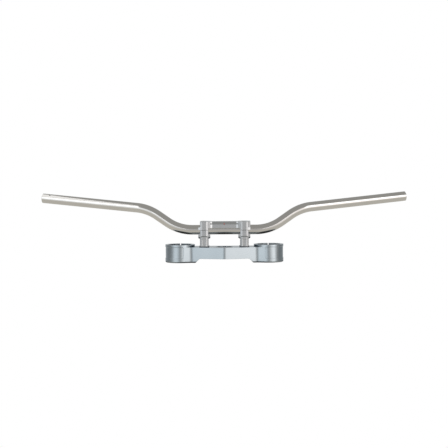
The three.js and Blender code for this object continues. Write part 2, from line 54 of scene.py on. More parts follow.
# Meshes
SMALL_ARC_STEPS = 6  # sections round a small rounded corner
LARGE_ARC_STEPS = 8
LIP_STEPS = 4
RING_STEPS = 90
MERGE_DISTANCE = 0.002
ROUNDING_SEGMENTS = 2
SHARP_ANGLE = 38.0  # edges sharper than this stay crisp in the shading
SINK = 1.0  # how far one joined solid reaches into the next
PAST = 1.0  # how far a cutting tool runs past the face it opens

# Heights and distances that are clear of the metal, where longer cutting tools end
BELOW_YOKE = -5.0
ABOVE_YOKE = 50.0
BEHIND_YOKE = 60.0
YOKE_CLEAR_HALF_D = 80.0
BELOW_RISER = 30.0
BELOW_CLAMP = 60.0
ABOVE_CLAMP = 100.0
IN_FRONT_OF_CLAMP = -30.0

# Fork clamp rings, each with a shallow band turned into its outside
FORK_X = 101.9
RING_R = 34.2
FORK_BORE_R = 27.0
RING_TOP = 41.0
COLLAR_FOOT = 20.0  # the collar starts inside the plate's thickness
FOOT_R = 3.0
BORE_LIP = 0.6
SLIT_W = 2.3
RECESS_DEPTH = 0.8
RECESS_REACH = 8.6  # how far the band runs past the fork axis, towards the middle
RECESS_LOW = 10.2
RECESS_HIGH = 35.6
RECESS_CORNER_R = 3.5
RECESS_TO_LUG = 3.0  # the band stops this far short of the pinch lug
RECESS_SLOPE = 0.4  # how far its inner end leans
RECESS_RIM_LOW = 0.3  # chamfers along its long edges
RECESS_RIM_HIGH = 0.79
RECESS_STEPS = 60
RECESS_CLEAR = 0.5  # how far the band's cutter stands out of the ring

# Yoke plate between the rings
PLATE_BOTTOM = 9.6
PLATE_TOP = 35.6
FACET_ANGLE = 18.0  # flat that leaves the ring towards the middle
FACET_LENGTH = 10.7
REAR_FACET_LENGTH = 25.0
WEB_R = 20.0
NOSE_ANGLE = 15.0  # each nose plane turned from the straight-ahead direction
NOSE_R = 17.7
STEP_X_TOP = 56.8  # foot of the plate ends here, under the plate
STEP_X_BOTTOM = 66.4  # and here at the lower face
STEM_BORE_R = 19.5
STEM_Y = -8.0

# Pinch lugs behind the slits
LUG_HALF_W = 14.0
LUG_FRONT = RING_R - 7.0  # inside the ring's wall
LUG_REAR = 50.0
LUG_BOTTOM = 4.0
LUG_TOP = 36.0
LUG_CORNER_R = 5.0
PINCH_Y = 42.0
PINCH_HEIGHTS = {"lower": 12.5, "upper": 27.5}
PINCH_HOLE_REACH = 25.0  # either side of the slit, past the lug's flanks
PINCH_HEAD_REACH = 30.0

# Bar
BAR_R = 11.1
BAR_BORE_R = 8.1
BAR_Y = -6.0
BAR_Z = 74.8
BEND_R = 100.0
BEND_STEP = 1.5  # degrees of bend between sections
BEND_1 = (104.5, BAR_Y, BAR_Z)  # corner where the bar turns up
BEND_2 = (175.0, 2.5, 123.4)  # corner where it turns out to the grip
BAR_END = (425.3, 64.8, 147.2)
BAR_SIDES = 72
STRAIGHT_STEP = 12.0  # about the distance between sections on the straights
BORE_STRIDE = 4  # the bore has a section at every fourth one of the outside
BAR_LIP = 0.9  # rounding of the tube's outer end
MOUTH_CHAMFER = 0.4
PIN_HOLE_R = 1.8  # locating hole for the throttle housing, right grip only
PIN_HOLE_FROM_END = 18.0
PIN_HOLE_LEAN = 32.0  # degrees from upright, towards the front
PIN_HOLE_START = -2.0  # below the bar's axis
PIN_SINK_DEPTH = 0.9
PIN_SINK_CLEAR = 0.7

# Risers and top clamp
RISER_X = 46.0
SEAT_R = BAR_R + 0.4
SEAT_REACH = 20.0  # either side of a riser's centre
CLAMP_SEAT_REACH = 80.0
PAD_BOTTOM = 35.9
PAD_TOP = 37.1
PAD_BORDER = 1.5
POST_BOTTOM = 37.4
POST = {"half_w": 9.75, "half_d": 24.0, "panel": 5.2, "bevel": 2.8}
POCKET_HALF_W = 3.9  # shallow pocket in the post's front
POCKET_FOOT = 2.2
POCKET_DEPTH = 0.6
POCKET_CORNER_R = 1.6
POCKET_CLEAR = 5.0  # how far its cutter stands out of the post
BOSS = {"half_w": 9.4, "half_d": 26.0, "panel": 5.0, "bevel": 2.2}
BOSS_FOOT = 61.4
BOSS_SET_BACK = 2.4
BOSS_UNDERCUT = 2.2
SADDLE_HALF_W = 13.8
SADDLE_HALF_D = 7.0
SADDLE_FOOT = 53.4
SADDLE_FOOT_HALF_W = 9.2
SADDLE_SHOULDER = 55.6
SADDLE_CHAMFER = 4.0
RISER_TOP = 74.6
CLAMP_BOTTOM = 75.0
CLAMP_TOP = 94.0
BODY_INNER_X = 32.2
BEAM_BOTTOM = 78.9
LEDGE_LOW = 87.6
LEDGE_HIGH = 89.6
LEDGE_MIDDLE = (LEDGE_LOW + LEDGE_HIGH) / 2
BEAM_LOWER_D = 15.0
BEAM_UPPER_D = 12.5
BEAM_TOP_D = 10.4
CORNER_W = 4.6
CORNER_D = 1.8
WING_DEPTH_IN = 24.0
WING_DEPTH_OUT = 21.0
EAR_DEPTH_IN = 24.6
EAR_DEPTH_OUT = 22.4
EAR_TOP = 81.4
WIDE_SIDE = 1  # the body on this side is as wide outside its boss as inside
BODY_ROUNDING = 0.4
YOKE_ROUNDING = 0.35
PAD_ROUNDING = 0.15
SHALLOW_EDGE = 18.0  # degrees; milled edges down to this angle are rounded
STEEP_EDGE = 32.0  # and on the yoke down to this one

# Fasteners
M8 = {"shank": 4.0, "head": 6.5, "height": 8.0, "socket": 6.0, "deep": 4.0}
M10 = {"shank": 5.0, "head": 8.0, "height": 10.0, "socket": 8.0, "deep": 5.0}
BOLT_GAP = 0.3  # round a shank and between a screw and its seat
HEAD_GAP = 0.6  # round a screw head in its counterbore
M8_HOLE_R = M8["shank"] + BOLT_GAP
M8_HEAD_HOLE_R = M8["head"] + HEAD_GAP
M10_HOLE_R = M10["shank"] + BOLT_GAP
M10_HEAD_HOLE_R = M10["head"] + HEAD_GAP
SCREW_SIDES = 96
THREAD_PITCH = 1.25
THREAD_DEPTH = 0.55
THREAD_STOP = 2.5  # plain shank left under the head
TIP_CHAMFER = 0.8
NECK_FILLET = 0.4
KNURL_DEPTH = 0.14
HEAD_FOOT = (  # (inset, height above the seat, knurl) up the head's foot
    (0.3, 0.0, 0.0), (0.0, 0.3, 0.0), (0.0, 0.9, 0.0), (0.0, 1.2, KNURL_DEPTH),
)
HEAD_CROWN = (  # (inset, distance below the top, knurl) up to the head's top
    (0.0, 2.2, KNURL_DEPTH), (0.0, 1.9, 0.0), (0.0, 0.9, 0.0), (0.3, 0.35, 0.0), (0.9, 0.0, 0.0),
)
SOCKET_LEAD = {"foot": 0.82, "wider": 0.35, "depth": 0.7, "clear": 0.4}
SOCKET_TURN = 60.0  # a hexagon looks the same again after this many degrees
PINCH_TIP_BACK = 2.0  # the screw's tip stays this far inside the lug
CLAMP_BOLT_D = 17.5
CLAMP_BOLT_END = 50.0
CLAMP_BOLT_SEAT = 83.5
WASHER_THICK = 1.6
WASHER_EDGE = 0.18
RISER_BOLT_SEAT = 23.0
RISER_BOLT_TIP = 57.0
DOWEL_R = 2.5
DOWEL_HOLE_R = DOWEL_R + BOLT_GAP
DOWEL_D = 15.0  # behind the riser screw
DOWEL_BOTTOM = 29.5
DOWEL_TOP = 43.0
DOWEL_TIP = ((0.6, 0.0), (0.1, 0.3), (0.0, 0.8))  # (inset, distance from the end)
INLAY_R = 1.6
INLAY_DEPTH = 1.4  # behind the upper tier of the beam
INLAY_PROUD = 0.9  # in front of the middle of the ledge
INLAY_BACK = BAR_Y - BEAM_UPPER_D + INLAY_DEPTH
INLAY_GAP = 0.15
INLAY_BACK_GAP = 0.3
INLAY_CROWN = ((0.0, 0.35), (0.3, 0.08), (INLAY_R - 0.02, 0.0))  # (inset, distance below the top)

# Places and directions
FORK_Y = PIVOT.y / MM - BAR_Y  # the fork axes' place in the frame
UP_TO_REAR = Matrix(((1, 0, 0, 0), (0, 0, 1, 0), (0, -1, 0, 0), (0, 0, 0, 1)))

# Materials
TONE_STOPS = (0.3, 0.7)  # noise values where a mottled colour is all dark and all light
FLECK_TONE = 0.8  # how dark the inlay's flecks are, against its own colour

# Camera and studio
IMAGE_SIDE = 448
MM_PER_PIXEL = 2.3
SENSOR = 36.0
LOOK_AT = (-0.0005, PIVOT.y, 0.0877)
CAMERA_DISTANCE = 3.0
CAMERA_ELEVATION = 3.1
CAMERA_ROLL = -0.36
FLOOR_HALF = 4.0
FLOOR_DROP = 0.0005
GROUND = (0.545, 0.525, 0.475)
CEILING = (0.34, 0.335, 0.318)
SHADE = (0.03, 0.03, 0.03)
SHADE_HALF = (0.165, 0.085)
SHADE_EDGE = (0.8, 1.0)  # the patch fades out between these shares of its reach
COOL_WALL = (0.98, 1.0, 1.01)
WARM_WALL = (1.04, 0.99, 0.96)
WALL_TOP = (0.22, 0.45)  # upward part of the direction, where the walls fade into the ceiling
WALL_FOOT = (-0.42, -0.02)  # and into the ground
WALLS = (  # (degrees round from straight ahead of the bike, radiance)
    (-180, 0.55), (-160, 0.60), (-140, 0.40), (-100, 0.24), (-75, 0.30), (-60, 0.52), (-46, 0.98),
    (-30, 1.06), (-16, 0.85), (-5, 0.46), (5, 0.46), (14, 0.80), (28, 1.25), (44, 1.48), (56, 0.90),
    (70, 0.38), (90, 0.22), (140, 0.30), (160, 0.60), (180, 0.55),
)
PANEL_POWER = 4  # for one square metre at radiance 1
PANELS = (
    {"at": (-1.12, -0.15, 1.15), "size": (1.0, 1.5), "tilt": 0, "radiance": 0.55},
    {"at": (-1.05, -0.90, 0.70), "size": (0.8, 0.6), "tilt": 90, "radiance": 0.95},
    {"at": (0.95, -0.90, 0.60), "size": (0.8, 0.6), "tilt": 90, "radiance": 0.9},
    {"at": (-0.28, -0.90, 0.22), "size": (0.3, 0.12), "tilt": 90, "radiance": 0.7},
    {"at": (0.28, -0.90, 0.22), "size": (0.3, 0.12), "tilt": 90, "radiance": 0.7},
)


# ---------------------------------------------------------------- mesh helpers
def arc(cx, cy, r, start, stop, steps):
    """Points on an arc from one angle to another, in degrees."""
    angles = [math.radians(start + (stop - start) * i / steps) for i in range(steps + 1)]
    return [(cx + r * math.cos(a), cy + r * math.sin(a)) for a in angles]


def object_of(name, bm):
    """Scene object with the given mesh, its faces pointing out."""
    bmesh.ops.recalc_face_normals(bm, faces=bm.faces)
    mesh = bpy.data.meshes.new(name)
    bm.to_mesh(mesh)
    bm.free()
    obj = bpy.data.objects.new(name, mesh)
    bpy.context.scene.collection.objects.link(obj)
    return obj


def skin(bm, rows, closed=False):
    """Quads between rings of vertices, then a cap at each end or a last band back to the first."""
    following = rows[1:] + (rows[:1] if closed else [])
    for low, high in zip(rows, following):
        for i, v in enumerate(low):
            j = (i + 1) % len(low)
            bm.faces.new((v, low[j], high[j], high[i]))
    if not closed:
        bm.faces.new(rows[0][::-1])
        bm.faces.new(rows[-1])


def loft(name, layers):
    """Closed solid through layers of matching points, capped at both ends."""
    bm = bmesh.new()
    skin(bm, [[bm.verts.new(p) for p in layer] for layer in layers])
    return object_of(name, bm)


def prism(name, outline, z0, z1):
    return loft(name, [[(x, y, z) for x, y in outline] for z in (z0, z1)])


def side_prism(name, outline, x0, x1):
    return loft(name, [[(x, y, z) for y, z in outline] for x in (x0, x1)])


def front_prism(name, outline, y0, y1):
    return loft(name, [[(x, y, z) for x, z in outline] for y in (y0, y1)])


def box(name, x0, x1, y0, y1, z0, z1):
    return prism(name, [(x0, y0), (x1, y0), (x1, y1), (x0, y1)], z0, z1)


def upright(name, r, x, y, z0, z1, sides):
    return prism(name, arc(x, y, r, 0, 360, sides)[1:], z0, z1)


def crosswise(name, r, x0, x1, y, z, sides):
    return side_prism(name, arc(y, z, r, 0, 360, sides)[1:], x0, x1)


def turned(name, profile, sides, x=0.0, y=0.0):
    """Solid of revolution about an upright line, from (radius, height) pairs off the line."""
    bm = bmesh.new()
    closed = profile[0] == profile[-1]
    pairs = profile[:-1] if closed else profile
    rows = [[bm.verts.new((x + px, y + py, z)) for px, py in arc(0, 0, r, 0, 360, sides)[1:]]
            for r, z in pairs]
    skin(bm, rows, closed)
    return object_of(name, bm)


def applied(obj):
    """Bakes an object's modifiers into its mesh."""
    graph = bpy.context.evaluated_depsgraph_get()
    mesh = bpy.data.meshes.new_from_object(obj.evaluated_get(graph))
    obj.modifiers.clear()
    old = obj.data
    obj.data = mesh
    bpy.data.meshes.remove(old)
    mesh.name = obj.name


def combine(obj, tools, operation):
    """Boolean of an object with each tool in turn, which uses the tools up."""
    for tool in tools:
        m = obj.modifiers.new("combine", "BOOLEAN")
        m.operation = operation
        m.solver = "EXACT"
        m.object = tool
    applied(obj)
    for tool in tools:
        bpy.data.objects.remove(tool)
    return obj


def join(obj, *others):
    return combine(obj, others, "UNION")


def cut(obj, *tools):
    return combine(obj, tools, "DIFFERENCE")


def common(obj, *others):
    return combine(obj, others, "INTERSECT")


def clean(obj):
    """Merges points that all but touch, and triangulates."""
    bm = bmesh.new()
    bm.from_mesh(obj.data)
    bmesh.ops.remove_doubles(bm, verts=bm.verts, dist=MERGE_DISTANCE)
    bmesh.ops.dissolve_degenerate(bm, edges=bm.edges, dist=MERGE_DISTANCE)
    bmesh.ops.triangulate(bm, faces=bm.faces)
    bm.to_mesh(obj.data)
    bm.free()


def edge_rounded(obj, width, angle=SHALLOW_EDGE):
    """Rounds every edge that turns by more than the given angle, in degrees."""
    clean(obj)
    m = obj.modifiers.new("edges", "BEVEL")
    m.width = width
    m.segments = ROUNDING_SEGMENTS
    m.limit_method = "ANGLE"
    m.angle_limit = math.radians(angle)
    m.use_clamp_overlap = False
    m.miter_outer = "MITER_ARC"
    m.loop_slide = False
    applied(obj)


def finished(obj, name, body, material, nodes):
    obj.name = name
    obj.data.name = name
    obj.data.transform(Matrix.Translation((0, FORK_Y * MM, 0)) @ Matrix.Scale(MM, 4))
    obj.data.polygons.foreach_set("use_smooth", [True] * len(obj.data.polygons))
    obj.data.set_sharp_from_angle(angle=math.radians(SHARP_ANGLE))
    m = obj.modifiers.new("weights", "WEIGHTED_NORMAL")
    m.keep_sharp = True
    applied(obj)
    obj.data.materials.clear()
    obj.data.materials.append(material)
    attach(obj, body)
    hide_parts(*nodes)


# ---------------------------------------------------------------- materials
def node_material(name):
    """New material, its node tree and its main shader."""
    m = bpy.data.materials.new(name)
    m.use_nodes = True
    tree = m.node_tree
    return m, tree, tree.nodes["Principled BSDF"]


def add(tree, kind, **values):
    """New node with its settings."""
    node = tree.nodes.new(kind)
    for key, value in values.items():
        setattr(node, key, value)
    return node


def noise(tree, coords, scale, detail, rough=0.55, stretch=None):
    """Noise texture over object coordinates, stretched along chosen axes."""
    n = add(tree, "ShaderNodeTexNoise")
    n.inputs["Scale"].default_value = scale
    n.inputs["Detail"].default_value = detail
    n.inputs["Roughness"].default_value = rough
    source = coords
    if stretch:
        mapping = add(tree, "ShaderNodeMapping")
        mapping.inputs["Scale"].default_value = stretch
        tree.links.new(coords, mapping.inputs["Vector"])
        source = mapping.outputs["Vector"]
    tree.links.new(source, n.inputs["Vector"])
    return n.outputs["Fac"]


def ramp(tree, fac, stops):
    """Colour ramp through (place, colour) stops."""
    r = add(tree, "ShaderNodeValToRGB")
    elements = r.color_ramp.elements
    while len(elements) < len(stops):
        elements.new(0.5)
    for element, (place, colour) in zip(elements, stops):
        element.position = place
        element.color = (*colour, 1.0)
    tree.links.new(fac, r.inputs["Fac"])
    return r.outputs["Color"]


def bump(tree, shader, height, strength, distance):
    b = add(tree, "ShaderNodeBump")
    b.inputs["Strength"].default_value = strength
    b.inputs["Distance"].default_value = distance
    tree.links.new(height, b.inputs["Height"])
    tree.links.new(b.outputs["Normal"], shader.inputs["Normal"])


def mapped(tree, fac, low, high):
    """Turns 0..1 into low..high."""
    m = add(tree, "ShaderNodeMapRange")
    m.inputs["To Min"].default_value = low
    m.inputs["To Max"].default_value = high
    tree.links.new(fac, m.inputs["Value"])
    return m.outputs["Result"]


def mottled(tree, shader, fac, dark, light):
    """Base colour between two tones, after a noise."""
    stops = list(zip(TONE_STOPS, (dark, light)))
    tree.links.new(ramp(tree, fac, stops), shader.inputs["Base Color"])


def metal(name, dark, light, rough, grain_scale, grain_bump, grain_stretch=None):
    """Metal with soft colour clouds, a fine grain and roughness that follows the grain."""
    m, tree, shader = node_material(name)
    coords = add(tree, "ShaderNodeTexCoord").outputs["Object"]
    clouds = noise(tree, coords, scale=18.0, detail=3.0)
    grain = noise(tree, coords, grain_scale, detail=6.0, rough=0.7, stretch=grain_stretch)
    mottled(tree, shader, clouds, dark, light)
    tree.links.new(mapped(tree, grain, *rough), shader.inputs["Roughness"])
    shader.inputs["Metallic"].default_value = 1.0
    bump(tree, shader, grain, strength=grain_bump, distance=0.0002)
    return m


def enamel(name, colour):
    """Glossy paint with fine darker flecks."""
    m, tree, shader = node_material(name)
    coords = add(tree, "ShaderNodeTexCoord").outputs["Object"]
    flecks = noise(tree, coords, scale=900.0, detail=2.0)
    mottled(tree, shader, flecks, tuple(c * FLECK_TONE for c in colour), colour)
    shader.inputs["Roughness"].default_value = 0.35
    bump(tree, shader, flecks, strength=0.1, distance=0.0001)
    return m


YOKE_METAL = metal(
    "yoke_anodised", dark=(0.49, 0.555, 0.60), light=(0.53, 0.595, 0.64), rough=(0.17, 0.23),
    grain_scale=900.0, grain_bump=0.05,
)
BAR_METAL = metal(
    "bar_polished", dark=(0.74, 0.73, 0.715), light=(0.79, 0.78, 0.765), rough=(0.07, 0.13),
    grain_scale=240.0, grain_bump=0.04, grain_stretch=(0.08, 6, 6),
)
CLAMP_METAL = metal(
    "clamp_milled", dark=(0.635, 0.656, 0.676), light=(0.695, 0.716, 0.738), rough=(0.16, 0.26),
    grain_scale=500.0, grain_bump=0.05, grain_stretch=(1, 1, 0.12),
)
SCREW_METAL = metal(
    "screw_steel", dark=(0.55, 0.55, 0.55), light=(0.63, 0.63, 0.62), rough=(0.20, 0.32),
    grain_scale=700.0, grain_bump=0.1,
)
PAD_METAL = metal(
    "pad_anodised", dark=(0.10, 0.12, 0.15), light=(0.15, 0.17, 0.20), rough=(0.40, 0.52),
    grain_scale=900.0, grain_bump=0.1,
)
INLAY_ENAMEL = enamel("inlay_enamel", (0.62, 0.22, 0.19))


# ---------------------------------------------------------------- top yoke
def plate_half(inset):
    """Left-hand (+x) half of the yoke's outline, nose to rear, moved in by inset."""
    facet = math.radians(FACET_ANGLE)
    turn = math.radians(NOSE_ANGLE)
    leave_x = FORK_X - RING_R * math.sin(facet)
    leave_y = RING_R * math.cos(facet)
    web_x = leave_x - FACET_LENGTH * math.cos(facet) - WEB_R * math.sin(facet)
    web_y = -leave_y + FACET_LENGTH * math.sin(facet) - WEB_R * math.cos(facet)
    web_edge = (web_x - WEB_R * math.sin(turn), web_y + WEB_R * math.cos(turn))
    run = (web_edge[0] - NOSE_R * math.sin(turn)) / math.cos(turn)
    nose_y = web_edge[1] - run * math.sin(turn) + NOSE_R * math.cos(turn)
    rear_x = leave_x - REAR_FACET_LENGTH * math.cos(facet) - WEB_R * math.sin(facet)
    rear_y = leave_y - REAR_FACET_LENGTH * math.sin(facet) + WEB_R * math.cos(facet)
    nose = arc(0, nose_y, NOSE_R - inset, -90, -90 + NOSE_ANGLE, LARGE_ARC_STEPS)
    web = arc(web_x, web_y, WEB_R + inset, 90 + NOSE_ANGLE, 90 - FACET_ANGLE, LARGE_ARC_STEPS)
    ring = arc(FORK_X, 0, RING_R - inset, -90 - FACET_ANGLE, 90 + FACET_ANGLE, RING_STEPS)
    rear = arc(rear_x, rear_y, WEB_R + inset, -90 + FACET_ANGLE, -90, LARGE_ARC_STEPS)
    return nose + web + ring + rear


def yoke_outline(inset):
    """Whole outline, with the point on the middle plane taken once."""
    half = plate_half(inset)
    other = [(-x, y) for x, y in half if x > 1e-6]
    return half + other[::-1]


def foot_layers():
    """(inset, height) pairs of the rounded lower edge."""
    angles = [math.radians(90 * i / SMALL_ARC_STEPS) for i in range(SMALL_ARC_STEPS + 1)]
    return [(FOOT_R * (1 - math.sin(a)), FOOT_R * (1 - math.cos(a))) for a in angles]


def yoke_body():
    """Plate and rings up to the plate's top."""
    layers = foot_layers() + [(0.0, PLATE_TOP)]
    return loft("yoke", [[(x, y, z) for x, y in yoke_outline(d)] for d, z in layers])


def ring_collar(s):
    """Upper part of a fork ring, with the same facets as the yoke's own outline."""
    circle = arc(FORK_X, 0, RING_R, -90 - FACET_ANGLE, 90 + FACET_ANGLE, RING_STEPS)
    circle += arc(FORK_X, 0, RING_R, 90 + FACET_ANGLE, 270 - FACET_ANGLE, RING_STEPS)[1:-1]
    outline = [(s * x, y) for x, y in circle]
    return prism("collar", outline, COLLAR_FOOT, RING_TOP)


def pinch_lug(s):
    """Block behind a ring, rounded at its rear corners, that the pinch screws cross."""
    x = s * FORK_X
    r = LUG_CORNER_R
    w = LUG_HALF_W
    outline = [(x - w, LUG_FRONT), (x + w, LUG_FRONT)]
    outline += arc(x + w - r, LUG_REAR - r, r, 0, 90, LARGE_ARC_STEPS)
    outline += arc(x - w + r, LUG_REAR - r, r, 90, 180, LARGE_ARC_STEPS)
    return prism("lug", outline, LUG_BOTTOM, LUG_TOP)


def recess_wall(rim):
    """(radius, rise) pairs up a long wall of the band: floor, chamfered rim and clear of the ring."""
    outside = (RING_R + RECESS_CLEAR, rim + RECESS_CLEAR)
    return [(RING_R - RECESS_DEPTH, 0.0), (RING_R - rim, 0.0), outside]


def recess_tool(s):
    """Band round a fork ring in sections, its inner end sloping down between rounded corners."""
    x = s * FORK_X
    core = RING_R - RECESS_DEPTH
    start = -math.asin(RECESS_REACH / core)
    stop = math.pi - math.asin((LUG_HALF_W + RECESS_TO_LUG) / RING_R)
    length = (stop - start) * RING_R
    r = RECESS_CORNER_R
    stations = [(r - px, r - pz) for px, pz in arc(0, 0, r, 0, 90, SMALL_ARC_STEPS)]
    stations += [(r + (length - r) * i / RECESS_STEPS, 0.0) for i in range(1, RECESS_STEPS + 1)]
    layers = []
    for along, rise in stations:
        section = [(reach, RECESS_HIGH - rise + up) for reach, up in recess_wall(RECESS_RIM_HIGH)]
        section += [(reach, RECESS_LOW + rise - up) for reach, up in recess_wall(RECESS_RIM_LOW)[::-1]]
        lead = RECESS_SLOPE * (1 - along / length) / RECESS_DEPTH
        layer = []
        for reach, z in section:
            a = start + (along - lead * (reach - core)) / RING_R
            layer.append((x + s * reach * math.sin(a), -reach * math.cos(a), z))
        layers.append(layer)
    return loft("recess", layers)


def bore(r, x, y, low, high, sides):
    """Drill with a chamfered mouth at each open end; an end given as (z, False) stays square."""
    (z0, open_low), (z1, open_high) = low, high
    wide = r + BORE_LIP + PAST
    foot = [(wide, z0 - PAST), (r, z0 + BORE_LIP)] if open_low else [(r, z0)]
    head = [(r, z1 - BORE_LIP), (wide, z1 + PAST)] if open_high else [(r, z1)]
    return turned("bore", foot + head, sides, x, y)


def m8_hole(x, y, z0, z1):
    return upright("hole", M8_HOLE_R, x, y, z0, z1, sides=32)


def m10_hole(x, z0, z1):
    return upright("bolt", M10_HOLE_R, x, BAR_Y, z0, z1, sides=40)


def dowel_hole(x, z0, z1):
    return upright("dowel", DOWEL_HOLE_R, x, BAR_Y + DOWEL_D, z0, z1, sides=24)


def fork_clamp_tools(s):
    """Fork bore, slit and the stepped holes of the pinch screws."""
    x = s * FORK_X
    half_slit = SLIT_W / 2
    tools = [
        bore(FORK_BORE_R, x, 0, (0, True), (RING_TOP, True), sides=160),
        box("slit", x - half_slit, x + half_slit, 0, BEHIND_YOKE, BELOW_YOKE, ABOVE_YOKE),
    ]
    far = x + s * PINCH_HEAD_REACH
    face = x + s * (LUG_HALF_W - M8["height"])
    for z in PINCH_HEIGHTS.values():
        start, stop = x - PINCH_HOLE_REACH, x + PINCH_HOLE_REACH
        tools.append(crosswise("through", M8_HOLE_R, start, stop, PINCH_Y, z, sides=32))
        start, stop = min(face, far), max(face, far)
        tools.append(crosswise("head", M8_HEAD_HOLE_R, start, stop, PINCH_Y, z, sides=48))
    return tools


def riser_seat_tools(s):
    """Riser screw's hole and counterbore, and the hole for the dowel."""
    x = s * RISER_X
    foot, seat = (PLATE_BOTTOM, True), (RISER_BOLT_SEAT, False)
    return [
        m10_hole(x, 0, ABOVE_YOKE),
        bore(M10_HEAD_HOLE_R, x, BAR_Y, foot, seat, sides=56),
        dowel_hole(x, DOWEL_BOTTOM - BOLT_GAP, ABOVE_YOKE),
    ]


def yoke_tools():
    tools = [bore(STEM_BORE_R, 0, STEM_Y, (PLATE_BOTTOM, True), (PLATE_TOP, True), sides=112)]
    for s in SIDES.values():
        tools += fork_clamp_tools(s) + riser_seat_tools(s)
    return tools


def step_tool():
    """Takes away what lies under the plate, between the rings."""
    foot = STEP_X_BOTTOM + PAST
    outline = [(-foot, -PAST), (foot, -PAST), (STEP_X_TOP, PLATE_BOTTOM), (-STEP_X_TOP, PLATE_BOTTOM)]
    return front_prism("step", outline, -YOKE_CLEAR_HALF_D, YOKE_CLEAR_HALF_D)


def make_yoke():
    body = yoke_body()
    cut(body, step_tool())
    join(body, *[ring_collar(s) for s in SIDES.values()])
    join(body, *[pinch_lug(s) for s in SIDES.values()])
    cut(body, *yoke_tools())
    edge_rounded(body, YOKE_ROUNDING, STEEP_EDGE)
    clean(cut(body, *[recess_tool(s) for s in SIDES.values()]))
    finished(body, "yoke_body", FIXED, YOKE_METAL, ["top_yoke"])


# ---------------------------------------------------------------- handlebar
def bend(before, at, after):
    """Points round the bend that takes the place of a corner."""
    back = (before - at).normalized()
    on = (after - at).normalized()
    half = back.angle(on) / 2
    turn = math.pi - 2 * half
    centre = at + (back + on).normalized() * (BEND_R / math.sin(half))
    start = at + back * (BEND_R / math.tan(half)) - centre
    axis = start.cross(on).normalized()
    steps = math.ceil(math.degrees(turn) / BEND_STEP)
    return [centre + Matrix.Rotation(turn * i / steps, 3, axis) @ start for i in range(steps + 1)]


def bar_line():
    """The bar's middle line, from the rider's right end to the left."""
    corners = [Vector((-x, y, z)) for x, y, z in (BAR_END, BEND_2, BEND_1)]
    corners += [Vector(p) for p in (BEND_1, BEND_2, BAR_END)]
    line = [corners[0]]
    for before, at, after in zip(corners, corners[1:], corners[2:]):
        line += bend(before, at, after)
    return line + [corners[-1]]


def bar_stations(line):
    """Adds even spacing along the straights so that every section is close to its neighbours."""
    out = [line[0]]
    for a, b in zip(line, line[1:]):
        parts = max(1, round((b - a).length / STRAIGHT_STEP))
        out += [a.lerp(b, (i + 1) / parts) for i in range(parts)]
    return out


def directions(points):
    """Direction of the line at each point, from its neighbours."""
    padded = [points[0]] + points + [points[-1]]
    return [(after - before).normalized() for before, after in zip(padded, padded[2:])]


def bar_end(at, direction, inwards):
    """Sections over the rounded lip of an end, towards its face, and in through the bore's mouth."""
    lip = []
    for px, py in arc(0, 0, BAR_LIP, 0, 90, LIP_STEPS):
        lip.append((at + inwards * (BAR_LIP - py), direction, BAR_R - BAR_LIP + px))
    inner_edge = (at, direction, BAR_BORE_R + MOUTH_CHAMFER)
    return lip, [inner_edge, (at + inwards * MOUTH_CHAMFER, direction, BAR_BORE_R)]


def bar_ring(bm, centre, direction, r):
    """Ring of vertices square to the bar's line."""
    across = direction.cross(Vector((0, 0, 1))).normalized()
    up = across.cross(direction)
    circle = arc(0, 0, r, 0, 360, BAR_SIDES)[1:]
    return [bm.verts.new(centre + across * px + up * py) for px, py in circle]


def make_bar():
    points = bar_stations(bar_line())
    along = directions(points)
    first_lip, first_mouth = bar_end(points[0], along[0], along[0])
    last_lip, last_mouth = bar_end(points[-1], along[-1], -along[-1])
    middle = list(zip(points, along))[1:-1]
    outside = [(p, t, BAR_R) for p, t in middle]
    inside = [(p, t, BAR_BORE_R) for p, t in middle[::-BORE_STRIDE]]
    sections = first_lip[::-1] + outside + last_lip + last_mouth + inside + first_mouth[::-1]
    bm = bmesh.new()
    skin(bm, [bar_ring(bm, *section) for section in sections], closed=True)
    bar = object_of("bar", bm)
    cut(bar, pin_hole(points[0], along[0]))
    finished(bar, "bar_tube", BAR, BAR_METAL, ["handlebar"])


def pin_hole(end, direction):
    """Countersunk locating hole, drilled from above and in front."""
    sink_top = PIN_HOLE_R + PIN_SINK_DEPTH + PIN_SINK_CLEAR
    profile = [(PIN_HOLE_R, PIN_HOLE_START), (PIN_HOLE_R, BAR_R - PIN_SINK_DEPTH)]
    profile += [(sink_top, BAR_R + PIN_SINK_CLEAR)]
    drill = turned("drill", profile, sides=32)
    at = end + direction * PIN_HOLE_FROM_END
    lean = Matrix.Rotation(math.radians(PIN_HOLE_LEAN), 4, "X")
    drill.data.transform(Matrix.Translation(at) @ lean)
    return drill


# ---------------------------------------------------------------- risers and clamp
def panelled(x, half_w, half_d, panel, bevel):
    """Outline with a flat front and rear, bevelled at the corners."""
    quarter = [(panel, -half_d), (half_w, -half_d + bevel)]
    right = quarter + [(px, -py) for px, py in quarter][::-1]
    left = [(-px, py) for px, py in right][::-1]
    return [(x + px, BAR_Y + py) for px, py in right + left]


def pocket_tool(x):
    """Round-cornered pocket in the post's front."""
    r = POCKET_CORNER_R
    side = POCKET_HALF_W - r
    low, high = POST_BOTTOM + POCKET_FOOT + r, SADDLE_FOOT - r
    outline = []
    for cx, cz, start in ((side, low, -90), (side, high, 0), (-side, high, 90), (-side, low, 180)):
        outline += arc(x + cx, cz, r, start, start + 90, SMALL_ARC_STEPS)
    front = BAR_Y - POST["half_d"]
    return front_prism("pocket", outline, front - POCKET_CLEAR, front + POCKET_DEPTH)


